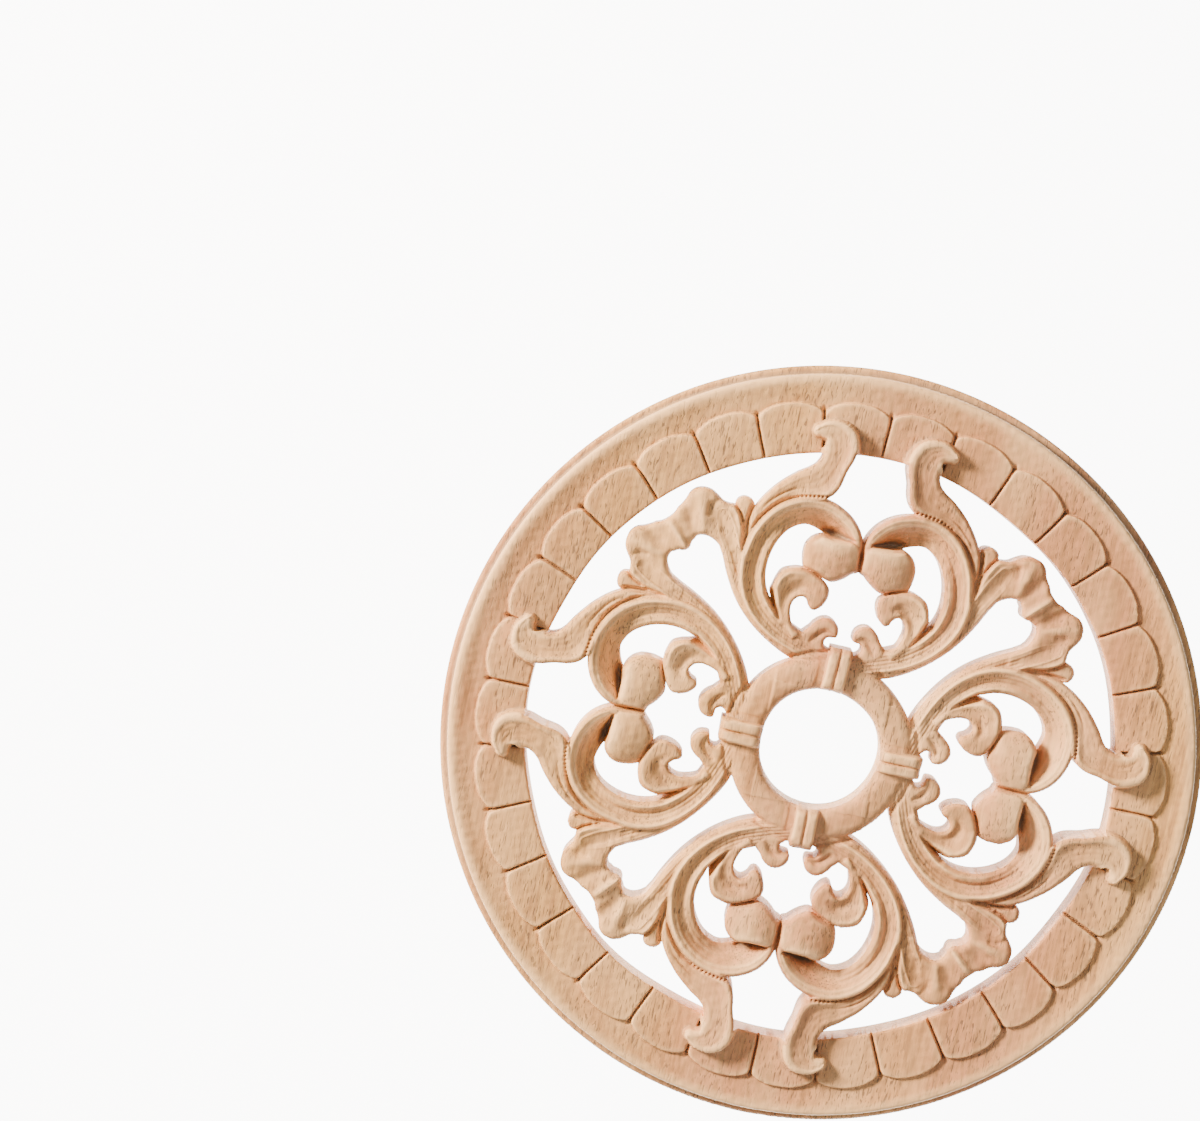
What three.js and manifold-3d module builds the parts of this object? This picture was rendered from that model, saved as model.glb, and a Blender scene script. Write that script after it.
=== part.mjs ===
// A carved and pierced wooden rosette, one board of wood, made to be fixed flat against a wall or door.
// Millimetres, +Z up. The flat back lies in the plane y = 0 and the carving faces -Y.
// The origin is at the centre of the back. The design repeats four times round the centre, and each
// repeat is mirrored about its own axis, so one half of a repeat is drawn and copied eight times.

import * as THREE from "three";
import * as BufferGeometryUtils from "three/addons/utils/BufferGeometryUtils.js";
import Module from "manifold-3d";

// Round frame: radii
const OUTER_RADIUS = 150;
const LEDGE_WIDTH = 3.4;
const BAND_WIDTH = 9.8;
const FRAME_WIDTH = 34;
const BAND_ROUND = 2.2;

// Round frame: heights over the back
const LEDGE_HEIGHT = 9;
const LEDGE_CHAMFER = 1;
const BAND_HEIGHT = 15;
const BAND_HOLLOW = 0.9;
const FIELD_FALL = 2.6;

// Tongues round the frame
const TONGUE_COUNT = 32;
const TONGUE_RISE = 1.1;
const TONGUE_GROOVE = 1.1;
const TONGUE_CORNER = 3.6;
const TONGUE_MARGIN = 0.6;
const TONGUE_SHOULDER_SHARE = 0.86;
const TONGUE_ARC_STEPS = 2;

// Ring at the centre
const HOLE_RADIUS = 23.7;
const HUB_WIDTH = 12.6;
const HUB_EDGE_HEIGHT = 12;
const HUB_HEIGHT = 16.6;
const HUB_CROWN_SIDES = [1, 0.75, 0, -0.75, -1];

// Ribbed clasps over the ring
const CLASP_WIDTH = 8.6;
const CLASP_OVERHANG = 4.4;
const CLASP_HEIGHT = 19.2;
const CLASP_EDGE_HEIGHT = 17;
const CLASP_GROOVE_DEPTH = 1.6;
const CLASP_RIB_OUTER_SHARE = 0.7;
const CLASP_RIB_INNER_SHARE = 0.32;

// Field of scrolls: how often the design repeats, and its highest points over the back
const REPEATS = 4;
const SCROLL_HEIGHT = 17.4;
const STEM_HEIGHT = 15;
const LEAF_HEIGHT = 20;
const FAN_HEIGHT = 16.6;
const KNOB_HEIGHT = 18.4;
const BUD_HEIGHT = 17;
const CURL_HEIGHT = 16;
const SMALL_CURL_HEIGHT = 15;

// Shape of a rounded boss: where its shoulder lies and how much of the fall to its wall is spent there
const DOME_SHOULDER_SHARE = 0.7;
const DOME_SHOULDER_FALL = 0.35;

// Wood left below the back while the shapes are joined, then sawn off flat
const SAW_ALLOWANCE = 2;

// Corners of one shape closer than the first are one corner, steps in the joined body under the second
const MERGE_TOLERANCE = 1e-4;
const JOIN_TOLERANCE = 0.25;

// Fineness of the faceted surfaces
const FRAME_SEGMENTS = 64;
const HUB_SEGMENTS = 36;

// Colour of the bare wood
const WOOD = { color: 0xd9ab87, roughness: 0.62, metalness: 0 };

// Radii worked out from the sizes above
const frameInner = OUTER_RADIUS - FRAME_WIDTH;
const bandOuter = OUTER_RADIUS - LEDGE_WIDTH;
const fieldOuter = bandOuter - BAND_WIDTH;
const fieldHeight = BAND_HEIGHT - BAND_HOLLOW;
const tongueCrest = fieldOuter - TONGUE_MARGIN;
const hubOuter = HOLE_RADIUS + HUB_WIDTH;

// The half repeat is drawn on a plan whose unit is a hundredth of the drawn outer radius. These two
// radii of the plan lie on the outside of the centre ring and on the inside of the frame.
const PLAN_HUB = 24.2;
const PLAN_FRAME = 77.3;

// Every limb is a spine of [across, up, half width] on the plan and a section of [side, height]: side
// runs from -1 on the right of the spine to 1 on its left, height is a share of the limb's own height.
// The roots of the scroll and stem are counted from the ring that they grow out of, and the tip of the
// leaf from the inside of the frame that it laps over.
const LIMBS = {
  scroll: {
    spine: [
      [1.2, PLAN_HUB - 1.6, 2.4], [9.5, 25.2, 2.9], [17, 28.4, 3.1], [22.6, 33, 3.3],
      [26.3, 39, 3.5], [27.4, 45.5, 3.6], [26, 52.3, 3.7], [22.2, 57.7, 3.7], [16.6, 60.6, 3.8],
      [10.8, 60.3, 3.7],
      [6, 57.9, 3.6], [3, 54, 3], [2.7, 50, 2.8], [5, 46.8, 2.8],
    ],
    section: [[-1, 0.82], [-0.7, 1], [-0.05, 0.79], [1, 0.76]],
    height: SCROLL_HEIGHT,
    lifts: [0.86, 0.9, 0.96, 1, 1],
    steps: 15,
  },
  stem: {
    spine: [
      [1.2, PLAN_HUB - 2.8, 1.2], [11, 23.5, 2.3], [17, 26.2, 2.4], [22.6, 30.5, 2.6], [27, 35.6, 2.9],
      [30.6, 41.6, 3.2], [33, 47.2, 3.6], [35, 52, 3],
    ],
    section: [[-1, 0.76], [-0.4, 1], [1, 0.86]],
    height: STEM_HEIGHT,
    lifts: [1, 1],
    steps: 7,
  },
  leaf: {
    spine: [
      [30.2, 45.4, 0.9], [29.8, 52, 1.8], [27.2, 58.6, 2.5], [23, 63.6, 3.3], [18.6, 66.6, 3.9],
      [13.9, 68.8, 4.7], [11.8, PLAN_FRAME - 3.8, 3.9], [11, PLAN_FRAME + 0.7, 4.1],
      [13.2, PLAN_FRAME + 4.5, 3.1], [17.2, PLAN_FRAME + 4.7, 1.3],
    ],
    section: [[-1, 0.76], [0.2, 0.86], [0.72, 1], [1, 0.84]],
    height: LEAF_HEIGHT,
    lifts: [0.72, 0.84, 0.9, 0.99, 0.95],
    steps: 9,
  },
  fan: {
    spine: [
      [31.5, 44, 2.6], [34.5, 50.2, 4.2], [38.4, 53.6, 4.9], [42.6, 53.4, 4.9], [48.1, 47.7, 4.4],
    ],
    section: [[-1, 0.84], [-0.1, 1], [1, 0.84]],
    height: FAN_HEIGHT,
    lifts: [0.92, 1, 0.88, 1, 0.86, 1],
    steps: 5,
  },
  curl: {
    spine: [
      [12.5, 28, 2.4], [16, 31.2, 2.6], [18, 35.4, 2.6], [17.6, 39.8, 3.1], [13.8, 42, 3.4],
      [9.5, 40, 2.6], [9.3, 36.2, 1.7],
    ],
    section: [[-1, 0.84], [-0.4, 1], [1, 0.76]],
    height: CURL_HEIGHT,
    lifts: [0.78, 0.9, 1, 1],
    steps: 7,
  },
  smallCurl: {
    spine: [[8, 25.5, 3.4], [7.6, 28.4, 2.6], [6.2, 31.2, 2], [3.9, 31.6, 1.6], [2.9, 29.8, 0.8]],
    section: [[-1, 0.86], [-0.3, 1], [1, 0.74]],
    height: SMALL_CURL_HEIGHT,
    lifts: [0.86, 1, 1],
    steps: 4,
  },
};

// Every dome is a rounded boss with an upright wall: centre, half widths and turn on the plan.
const DOMES = {
  knob: { centre: [8.5, 48.8], radii: [6.6, 6.3], turn: 0.2, height: KNOB_HEIGHT, wall: 0.78, sides: 9 },
  bud: { centre: [32.9, 57.3], radii: [2.1, 3.4], turn: 0.1, height: BUD_HEIGHT, wall: 0.82, sides: 6 },
  fanLobe: { centre: [43.4, 56.7], radii: [3.9, 3.9], turn: 0.3, height: FAN_HEIGHT, wall: 0.84, sides: 7 },
};

const wasm = await Module();
wasm.setup();

/** A closed three.js geometry as a solid that can be joined and cut. */
function toSolid(geometry) {
  const bare = geometry.clone();
  bare.deleteAttribute("normal");
  bare.deleteAttribute("uv");
  const merged = BufferGeometryUtils.mergeVertices(bare, MERGE_TOLERANCE);
  return new wasm.Manifold(new wasm.Mesh({
    numProp: 3,
    vertProperties: new Float32Array(merged.attributes.position.array),
    triVerts: new Uint32Array(merged.index.array),
    tolerance: JOIN_TOLERANCE,
  }));
}

/** A solid back as a three.js geometry. */
function toGeometry(solid) {
  const mesh = solid.getMesh();
  const geometry = new THREE.BufferGeometry();
  geometry.setAttribute("position", new THREE.BufferAttribute(mesh.vertProperties, 3));
  geometry.setIndex(new THREE.BufferAttribute(mesh.triVerts, 1));
  return geometry;
}

/** All the solids of a list joined into one. */
function join(solids) {
  return solids.reduce((whole, solid) => whole.add(solid));
}

/** A copy turned about the upright axis of the plan, mirrored first when asked. */
function placed(geometry, turn, mirrored) {
  const copy = geometry.clone();
  if (mirrored) {
    copy.scale(-1, 1, 1);
    const index = copy.index.array;
    for (let i = 0; i < index.length; i += 3) {
      [index[i], index[i + 1]] = [index[i + 1], index[i]];
    }
  }
  return copy.rotateZ(turn);
}

/** A ring turned from a closed profile of [radius, height] points that runs up the outside. */
function turnedRing(profile, segments) {
  const closed = [...profile, profile[0]].map(([radius, height]) => new THREE.Vector2(radius, height));
  return new THREE.LatheGeometry(closed, segments).rotateX(Math.PI / 2);
}

/** A plan point in millimetres: its distance from the centre is fitted between ring and frame. */
function onField(across, up) {
  const radius = Math.hypot(across, up);
  const share = (radius - PLAN_HUB) / (PLAN_FRAME - PLAN_HUB);
  const fitted = hubOuter + share * (frameInner - hubOuter);
  return [across * fitted / radius, up * fitted / radius];
}

/** A value read along an evenly spaced list, straight between its entries. */
function along(values, share) {
  const place = share * (values.length - 1);
  const before = Math.min(Math.floor(place), values.length - 2);
  return THREE.MathUtils.lerp(values[before], values[before + 1], place - before);
}

/** A limb of the carving: a section carried along a spine, with a flat underside on the back. */
function limb({ spine, section, height, lifts, steps }) {
  const route = new THREE.CatmullRomCurve3(spine.map((point) => new THREE.Vector3(...point)));
  const loop = [...section, [1, 0], [-1, 0]];
  const sides = loop.length;
  const geometry = new THREE.CylinderGeometry(1, 1, 1, sides, steps);
  const position = geometry.attributes.position;
  for (let i = 0; i < position.count; i += 1) {
    const share = 0.5 - position.getY(i);
    const angle = Math.atan2(position.getX(i), position.getZ(i));
    const corner = (Math.round(angle * sides / (2 * Math.PI)) + sides) % sides;
    const isCapCentre = Math.hypot(position.getX(i), position.getZ(i)) < 0.5;
    const [side, level] = isCapCentre ? [0, section[0][1]] : loop[corner];
    const centre = route.getPoint(share);
    const tangent = route.getTangent(share).setZ(0).normalize();
    const offset = side * centre.z;
    const [x, y] = onField(centre.x - tangent.y * offset, centre.y + tangent.x * offset);
    const top = level * height * along(lifts, share);
    position.setXYZ(i, x, y, level > 0 ? top : -SAW_ALLOWANCE);
  }
  return geometry;
}

/** A rounded boss with an upright wall and a flat underside on the back. */
function dome({ centre, radii, turn, height, wall, sides }) {
  const foot = -SAW_ALLOWANCE / height;
  const shoulder = 1 - DOME_SHOULDER_FALL * (1 - wall);
  const levels = [[0, foot], [1, foot], [1, wall], [DOME_SHOULDER_SHARE, shoulder], [0, 1]];
  const profile = levels.map(([radius, level]) => new THREE.Vector2(radius, level));
  const geometry = new THREE.LatheGeometry(profile, sides).rotateX(Math.PI / 2);
  geometry.scale(radii[0], radii[1], height).rotateZ(turn);
  const position = geometry.attributes.position;
  for (let i = 0; i < position.count; i += 1) {
    const [x, y] = onField(position.getX(i) + centre[0], position.getY(i) + centre[1]);
    position.setXY(i, x, y);
  }
  return geometry;
}

/** How far the frame's inner field has fallen below the band's hollow at a radius. */
function fieldFall(radius) {
  return FIELD_FALL * (fieldOuter - radius) / FRAME_WIDTH;
}

/** The turned body of the frame: ledge, rounded band and the sloping field under the tongues. */
function frameBody() {
  const sawnInner = frameInner - TONGUE_CORNER;
  const profile = [
    [sawnInner, -SAW_ALLOWANCE],
    [OUTER_RADIUS, -SAW_ALLOWANCE],
    [OUTER_RADIUS, LEDGE_HEIGHT - LEDGE_CHAMFER],
    [OUTER_RADIUS - LEDGE_CHAMFER, LEDGE_HEIGHT],
    [bandOuter, LEDGE_HEIGHT],
    [bandOuter, BAND_HEIGHT - BAND_ROUND],
    [bandOuter - BAND_ROUND, BAND_HEIGHT],
    [fieldOuter, fieldHeight],
    [sawnInner, fieldHeight - fieldFall(sawnInner)],
  ];
  return toSolid(turnedRing(profile, FRAME_SEGMENTS));
}

/** One tongue: a flat pad with a rounded outer end, raised a little over the frame's field. */
function tongue() {
  const halfAngle = Math.PI / TONGUE_COUNT;
  const halfWidth = tongueCrest * Math.sin(halfAngle) - TONGUE_GROOVE / 2;
  const inner = frameInner - TONGUE_CORNER;
  const innerHalf = inner * Math.tan(halfAngle) - TONGUE_GROOVE / 2;
  const shoulder = tongueCrest * Math.cos(halfAngle) - TONGUE_CORNER;
  const outline = new THREE.Shape();
  outline.moveTo(innerHalf, inner);
  outline.lineTo(halfWidth, shoulder);
  const end = new THREE.QuadraticBezierCurve(
    new THREE.Vector2(halfWidth, shoulder),
    new THREE.Vector2(halfWidth * TONGUE_SHOULDER_SHARE, tongueCrest),
    new THREE.Vector2(0, tongueCrest),
  ).getPoints(TONGUE_ARC_STEPS).slice(1);
  end.forEach((point) => outline.lineTo(point.x, point.y));
  end.slice(0, -1).reverse().forEach((point) => outline.lineTo(-point.x, point.y));
  outline.lineTo(-halfWidth, shoulder);
  outline.lineTo(-innerHalf, inner);
  const geometry = new THREE.ExtrudeGeometry(outline, { depth: fieldHeight + TONGUE_RISE, bevelEnabled: false });
  const position = geometry.attributes.position;
  for (let i = 0; i < position.count; i += 1) {
    if (position.getZ(i) > 0) {
      position.setZ(i, position.getZ(i) - fieldFall(position.getY(i)));
    }
  }
  return geometry;
}

/** The frame with its tongues, its opening cut clean through both. */
function frame() {
  const pad = tongue();
  const pads = [];
  for (let i = 0; i < TONGUE_COUNT; i += 1) {
    pads.push(toSolid(pad.clone().rotateZ((i + 0.5) * 2 * Math.PI / TONGUE_COUNT)));
  }
  const opening = new THREE.CylinderGeometry(frameInner, frameInner, 4 * BAND_HEIGHT, FRAME_SEGMENTS);
  return join([frameBody(), ...pads]).subtract(toSolid(opening.rotateX(Math.PI / 2)));
}

/** The ring at the centre, half round above its upright edges. */
function hub() {
  const middle = HOLE_RADIUS + HUB_WIDTH / 2;
  const rise = HUB_HEIGHT - HUB_EDGE_HEIGHT;
  const crown = HUB_CROWN_SIDES.map((side) => [
    middle + side * HUB_WIDTH / 2,
    HUB_EDGE_HEIGHT + rise * Math.sqrt(1 - side * side),
  ]);
  return toSolid(turnedRing([[HOLE_RADIUS, -SAW_ALLOWANCE], [hubOuter, -SAW_ALLOWANCE], ...crown], HUB_SEGMENTS));
}

/** One clasp over the ring: two rounded ribs with a groove between them, reaching past the ring. */
function clasp() {
  const half = CLASP_WIDTH / 2;
  const section = new THREE.Shape();
  section.moveTo(-half, -SAW_ALLOWANCE);
  section.lineTo(half, -SAW_ALLOWANCE);
  section.lineTo(half, CLASP_EDGE_HEIGHT);
  section.lineTo(half * CLASP_RIB_OUTER_SHARE, CLASP_HEIGHT);
  section.lineTo(half * CLASP_RIB_INNER_SHARE, CLASP_HEIGHT);
  section.lineTo(0, CLASP_HEIGHT - CLASP_GROOVE_DEPTH);
  section.lineTo(-half * CLASP_RIB_INNER_SHARE, CLASP_HEIGHT);
  section.lineTo(-half * CLASP_RIB_OUTER_SHARE, CLASP_HEIGHT);
  section.lineTo(-half, CLASP_EDGE_HEIGHT);
  const length = HUB_WIDTH + CLASP_OVERHANG;
  const geometry = new THREE.ExtrudeGeometry(section, { depth: length, bevelEnabled: false });
  geometry.rotateX(Math.PI / 2).translate(0, hubOuter + CLASP_OVERHANG, 0);
  return geometry;
}

/** Every limb and dome of one half repeat. */
function halfRepeat() {
  return [...Object.values(LIMBS).map(limb), ...Object.values(DOMES).map(dome)];
}

/** The whole rosette joined into one solid, turned upright so that the carving faces -Y. */
function rosette() {
  const half = halfRepeat();
  const band = clasp();
  const waste = new THREE.BoxGeometry(3 * OUTER_RADIUS, 3 * OUTER_RADIUS, 2 * SAW_ALLOWANCE);
  waste.translate(0, 0, -SAW_ALLOWANCE);
  const solids = [frame(), hub()];
  for (let i = 0; i < REPEATS; i += 1) {
    const turn = i * 2 * Math.PI / REPEATS;
    solids.push(toSolid(placed(band, turn, false)));
    solids.push(...half.map((geometry) => toSolid(placed(geometry, turn, false))));
    solids.push(...half.map((geometry) => toSolid(placed(geometry, turn, true))));
  }
  return toGeometry(join(solids).subtract(toSolid(waste))).rotateX(Math.PI / 2);
}

const group = new THREE.Group();
const body = new THREE.Mesh(rosette(), new THREE.MeshStandardMaterial(WOOD));
body.name = "carved_rosette";
group.add(body);

export default group;
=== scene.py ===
"""The look of a carved and pierced wooden rosette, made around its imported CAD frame.

The rosette is one board of bare, open-pored hardwood. Its carving is worked out as a relief: for every
point of the plan the script finds how high the wood stands over the flat back and how far the point lies
inside the pierced outline. Plan lengths are in plan units, hundredths of the outer radius, and heights in
millimetres. The carved face looks to -Y and +Z is up.
"""

import logging
import math
from dataclasses import dataclass, field
from enum import Enum

import bpy
import numpy as np
from mathutils import Matrix, Vector


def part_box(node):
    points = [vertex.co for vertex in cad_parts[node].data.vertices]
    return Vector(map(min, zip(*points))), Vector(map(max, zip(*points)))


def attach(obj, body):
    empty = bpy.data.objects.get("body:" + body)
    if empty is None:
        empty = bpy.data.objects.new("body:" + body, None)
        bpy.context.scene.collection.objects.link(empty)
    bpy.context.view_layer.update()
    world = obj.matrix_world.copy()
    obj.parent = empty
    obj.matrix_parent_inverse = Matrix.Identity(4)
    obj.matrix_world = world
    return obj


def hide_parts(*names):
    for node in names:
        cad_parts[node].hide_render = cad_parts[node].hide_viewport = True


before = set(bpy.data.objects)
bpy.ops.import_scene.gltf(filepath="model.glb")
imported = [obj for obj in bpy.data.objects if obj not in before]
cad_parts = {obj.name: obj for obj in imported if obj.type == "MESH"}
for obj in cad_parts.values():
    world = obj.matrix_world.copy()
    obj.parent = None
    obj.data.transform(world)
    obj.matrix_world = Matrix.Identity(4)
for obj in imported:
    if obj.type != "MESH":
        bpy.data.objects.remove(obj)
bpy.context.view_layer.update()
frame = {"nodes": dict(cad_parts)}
NODE = "carved_rosette"
PIECE = "rosette_carving"
# Name of the attribute with the depth of hollows, which gives the wood painted shade and highlight.
HOLLOW = "hollow"
MM = 0.001
PLAN_RADIUS = 100.0
# Outside its edge a shape is worked out for REACH millimetres more and falls by FALL for each of them.
REACH = 4.0
FALL = 3.2
# Curves are worked out FINER times as densely as they are read, and long lists PART_POINTS at a time.
FINER = 8
PART_POINTS = 20_000
# Least width or share, and least length, that anything is divided by.
LEAST = 1e-3
TINY = 1e-6
LOG = logging.getLogger("rosette")
Array = np.ndarray
Triple = tuple[float, float, float]
Quad = tuple[float, float, float, float]
Socket = bpy.types.NodeSocket


class Blend(Enum):
    """How a shape meets what is already there: width of the rounded corner in millimetres."""

    CRISP = 0.05
    SOFT = 0.5


def smooth_route(points: Array, count: int) -> Array:
    """Carries a smooth curve through control points.

    Every stretch is a cubic whose end slopes come from the points before and after it, with the root of
    the distance between points as the parameter (a centripetal Catmull-Rom curve). The curve is then read
    at even steps of its length.

    Args:
        points: Control points, one row each; the first two columns are the place on the plan.
        count: How many rows come back.

    Returns:
        The curve, count rows with the columns of the control points.
    """
    padded = np.vstack([2 * points[0] - points[1], points, 2 * points[-1] - points[-2]])
    gaps = np.maximum(np.linalg.norm(np.diff(padded[:, :2], axis=0), axis=1), TINY) ** 0.5
    place = np.linspace(0, len(points) - 1, FINER * count)
    start = np.minimum(place.astype(int), len(points) - 2)
    w = (place - start)[:, None]
    p0, p1, p2, p3 = (padded[start + k] for k in range(4))
    d0, d1, d2 = (gaps[start + k][:, None] for k in range(3))
    slope1 = ((p1 - p0) / d0 - (p2 - p0) / (d0 + d1) + (p2 - p1) / d1) * d1
    slope2 = ((p2 - p1) / d1 - (p3 - p1) / (d1 + d2) + (p3 - p2) / d2) * d1
    bend = -3 * p1 + 3 * p2 - 2 * slope1 - slope2
    twist = 2 * p1 - 2 * p2 + slope1 + slope2
    dense = p1 + slope1 * w + bend * w ** 2 + twist * w ** 3
    length = np.concatenate([[0], np.cumsum(np.linalg.norm(np.diff(dense[:, :2], axis=0), axis=1))])
    even = np.linspace(0, length[-1], count)
    return np.stack([np.interp(even, length, column) for column in dense.T], axis=1)


def smooth_table(rows: Array, count: int) -> Array:
    """Fills in a table of heights along its first axis with a smooth curve through its rows.

    Args:
        rows: Table whose rows are evenly spaced.
        count: How many rows come back.

    Returns:
        The denser table.
    """
    padded = np.vstack([2 * rows[0] - rows[1], rows, 2 * rows[-1] - rows[-2]])
    place = np.linspace(0, len(rows) - 1, count)
    start = np.minimum(place.astype(int), len(rows) - 2)
    w = (place - start)[:, None]
    p0, p1, p2, p3 = (padded[start + k] for k in range(4))
    return 0.5 * (2 * p1 + (p2 - p0) * w + (2 * p0 - 5 * p1 + 4 * p2 - p3) * w ** 2
                  + (3 * p1 - p0 - 3 * p2 + p3) * w ** 3)


def smooth_step(value: Array) -> Array:
    """A value rising from 0 to 1 with no slope at either end."""
    v = np.clip(value, 0, 1)
    return v * v * (3 - 2 * v)


def higher(first: Array, second: Array, width: float) -> Array:
    """The larger of two heights, with the corner between them rounded over a width."""
    return 0.5 * (first + second + np.sqrt((first - second) ** 2 + width ** 2) - width)


def waves(rows: tuple[Quad, ...], x: Array, z: Array) -> Array:
    """A sum of sine waves over the plan, each row giving size, pace across, pace up and start."""
    return sum(size * np.sin(across * x + up * z + start) for size, across, up, start in rows)


def box_blur(values: Array, cells: int) -> Array:
    """The mean over a square of cells round every grid point, worked out with running sums.

    Args:
        values: A grid of values; its border goes on outside it.
        cells: How many cells the square reaches to each side.

    Returns:
        The grid of means.
    """
    blurred = values
    for axis in (0, 1):
        width = [(cells + 1, cells) if a == axis else (0, 0) for a in (0, 1)]
        total = np.cumsum(np.pad(blurred, width, mode="edge"), axis=axis)
        size = blurred.shape[axis]
        upper = np.take(total, np.arange(size) + 2 * cells + 1, axis=axis)
        lower = np.take(total, np.arange(size), axis=axis)
        blurred = (upper - lower) / (2 * cells + 1)
    return blurred


def read_table(table: Array, row: Array, column: Array) -> Array:
    """Values between the entries of a table, straight from each entry to the next both ways.

    Args:
        table: Entries on an even grid.
        row: Places down the table, counted in entries.
        column: Places along the table, counted in entries.

    Returns:
        A value for every place.
    """
    r = np.minimum(row.astype(int), table.shape[0] - 2)
    c = np.minimum(column.astype(int), table.shape[1] - 2)
    down, along = row - r, column - c
    low = table[r, c] * (1 - along) + table[r, c + 1] * along
    high = table[r + 1, c] * (1 - along) + table[r + 1, c + 1] * along
    return low * (1 - down) + high * down


def nearest_on(route: Array, u: Array, v: Array) -> tuple[Array, Array, Array]:
    """The nearest place on a line for every point.

    Args:
        route: The line's points; the first two columns are the place on the plan.
        u: Plan places across.
        v: Plan places up.

    Returns:
        Places counted in points of the line, distances that are positive on the line's left, and the
        line's other columns there.
    """
    start, step = route[:-1, :2], np.diff(route[:, :2], axis=0)
    du, dv = u[:, None] - start[:, 0], v[:, None] - start[:, 1]
    t = (du * step[:, 0] + dv * step[:, 1]) / np.maximum((step ** 2).sum(1), TINY ** 2)
    t = np.clip(t, 0, 1)
    off_u, off_v = du - t * step[:, 0], dv - t * step[:, 1]
    best = np.argmin(off_u ** 2 + off_v ** 2, axis=1)
    rows = np.arange(len(u))
    t, off_u, off_v = t[rows, best], off_u[rows, best], off_v[rows, best]
    left = step[best, 0] * off_v - step[best, 1] * off_u > 0
    values = route[best, 2:] * (1 - t)[:, None] + route[best + 1, 2:] * t[:, None]
    return best + t, np.where(left, 1, -1) * np.hypot(off_u, off_v), values


def near_parts(route: Array, reach: float, u: Array, v: Array) -> list[Array]:
    """Picks the points that may lie near a line, in parts small enough for the memory.

    Args:
        route: The line's points; the first two columns are the place on the plan.
        reach: How far outside the line's box a point may lie, in plan units.
        u: Plan places across.
        v: Plan places up.

    Returns:
        Numbers of the points, part by part.
    """
    low, high = route[:, :2].min(0) - reach, route[:, :2].max(0) + reach
    near = np.flatnonzero((u > low[0]) & (u < high[0]) & (v > low[1]) & (v < high[1]))
    return np.array_split(near, max(1, len(near) // PART_POINTS)) if len(near) else []


@dataclass(frozen=True)
class Stroke:
    """A limb of the carving: a section carried along a spine on the plan.

    Attributes:
        spine: Control points of across, up, half width on the right and half width on the left.
        sides: Places across the section, from -1 on the right of the spine to 1 on its left.
        heights: Rows of section heights in millimetres, evenly spaced along the spine.
        blend: How its surface meets the rest.
        reeds: Height in millimetres of the fine ridges that run along the limb.
        reed_count: Ridges on each side of the spine.
        sway: How far the ridges wander to and fro, in radians of their own wave.
        sway_pace: How fast they wander, in radians a row of the table.
        steps: Points of the smooth spine.
        table: Rows and columns of the smooth table of heights.
    """

    spine: tuple[Quad, ...]
    sides: tuple[float, ...]
    heights: tuple[tuple[float, ...], ...]
    blend: Blend = Blend.CRISP
    reeds: float = 0.1
    reed_count: float = 3.0
    sway: float = 1.4
    sway_pace: float = 0.13
    steps: int = 90
    table: int = 64

    def surface(self, u: Array, v: Array, unit: float) -> tuple[Array, Array]:
        """Height and inset of the limb.

        The nearest point of the spine gives the place along it, and the distance from the spine over the
        half width there gives the place across. The height is read from the table of sections, with a
        cosine across it for the reeds. Outside the limb its surface falls off steeply from its edge.

        Args:
            u: Plan places across.
            v: Plan places up.
            unit: Millimetres in a plan unit.

        Returns:
            Heights in millimetres and insets inside the limb's edge in millimetres.
        """
        route = smooth_route(np.array(self.spine, float), self.steps)
        sections = smooth_table(np.array(self.heights, float), self.table)
        across = np.linspace(-1, 1, self.table)
        dense = np.stack([self._across(row, across) for row in sections])
        height = np.full(u.shape, -np.inf)
        inset = np.full(u.shape, -np.inf)
        for part in near_parts(route, route[:, 2:].max() + REACH / unit, u, v):
            share, offset, halves = nearest_on(route, u[part], v[part])
            half = np.maximum(np.where(offset > 0, halves[:, 1], halves[:, 0]), LEAST)
            side = np.clip(offset / half, -1, 1)
            row = share / (len(route) - 1) * (self.table - 1)
            level = read_table(dense, row, (side + 1) / 2 * (self.table - 1))
            bend = self.sway * np.sin(self.sway_pace * row)
            level += self.reeds * np.cos(2 * math.pi * self.reed_count * side + bend) * (1 - side ** 4)
            gap = np.abs(offset) - half
            height[part] = level - FALL * np.maximum(gap, 0) * unit
            inset[part] = -gap * unit
        return height, inset

    def _across(self, row: Array, places: Array) -> Array:
        """Reads one section at places across it, on a smooth curve through its heights."""
        fine = smooth_table(np.stack([self.sides, row], axis=1), 2 * FINER * len(row))
        return np.interp(places, fine[:, 0], fine[:, 1])


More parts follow.
